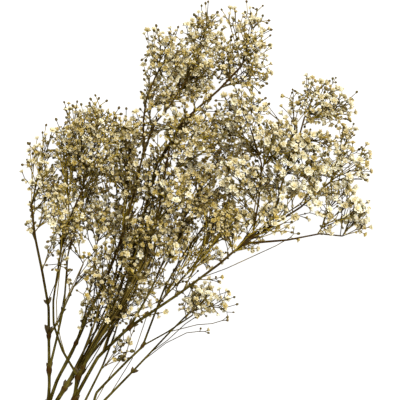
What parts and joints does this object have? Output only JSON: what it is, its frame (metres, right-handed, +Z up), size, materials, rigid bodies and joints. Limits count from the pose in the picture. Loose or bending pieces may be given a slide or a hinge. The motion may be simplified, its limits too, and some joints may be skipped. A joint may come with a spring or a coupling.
{
  "type": "dried gypsophila stem",
  "caption": "Cut and dried baby's breath stem lying down: a wiry woody stem that forks into thin branches with loose sprays of small papery double blooms and closed buds",
  "frame": {"origin": "middle of the flat spot on the underside of the stem's heel, on the surface that the stem lies on", "axes": "+Y runs from the cut heel towards the crown of blooms, +X to the crown's wide side, +Z up from the surface"},
  "size_m": [0.3037, 0.508, 0.11],
  "materials": {
    "dried_wood": "matt",
    "dried_bloom": "papery matt"
  },
  "bodies": {
    "root": {"stem": "dried_wood", "top_right_spray": "dried_bloom", "top_right_low_spray": "dried_bloom", "top_spray": "dried_bloom", "top_back_spray": "dried_bloom", "top_left_spray": "dried_bloom", "top_left_low_spray": "dried_bloom", "crown_spray": "dried_bloom", "crown_left_spray": "dried_bloom", "right_of_centre_spray": "dried_bloom", "ridge_spray": "dried_bloom", "front_right_spray": "dried_bloom", "right_high_spray": "dried_bloom", "right_high_back_spray": "dried_bloom", "right_spray": "dried_bloom", "right_mid_spray": "dried_bloom", "right_back_spray": "dried_bloom", "right_under_spray": "dried_bloom", "right_edge_spray": "dried_bloom", "right_tip_spray": "dried_bloom", "middle_spray": "dried_bloom", "heart_spray": "dried_bloom", "front_spray": "dried_bloom", "front_low_spray": "dried_bloom", "centre_fan_spray": "dried_bloom", "hem_spray": "dried_bloom", "low_heart_spray": "dried_bloom", "low_front_spray": "dried_bloom", "low_left_spray": "dried_bloom", "left_high_spray": "dried_bloom", "left_high_right_spray": "dried_bloom", "left_mid_spray": "dried_bloom", "left_centre_spray": "dried_bloom", "left_low_spray": "dried_bloom", "left_edge_spray": "dried_bloom", "left_corner_spray": "dried_bloom", "bottom_right_spray": "dried_bloom", "bottom_right_front_spray": "dried_bloom", "low_small_spray": "dried_bloom", "low_bud_spray": "dried_bloom", "top_middle_spray": "dried_bloom", "top_gap_spray": "dried_bloom", "left_shoulder_spray": "dried_bloom", "centre_left_spray": "dried_bloom", "bundle_high_spray": "dried_bloom", "crown_right_spray": "dried_bloom", "ridge_back_spray": "dried_bloom", "right_between_spray": "dried_bloom", "left_under_spray": "dried_bloom", "heart_low_spray": "dried_bloom", "centre_low_spray": "dried_bloom", "hem_high_spray": "dried_bloom", "hem_right_spray": "dried_bloom", "left_foot_spray": "dried_bloom", "bundle_low_spray": "dried_bloom", "bundle_foot_spray": "dried_bloom", "low_knot_spray": "dried_bloom", "hem_low_spray": "dried_bloom"}
  },
  "joints": []
}
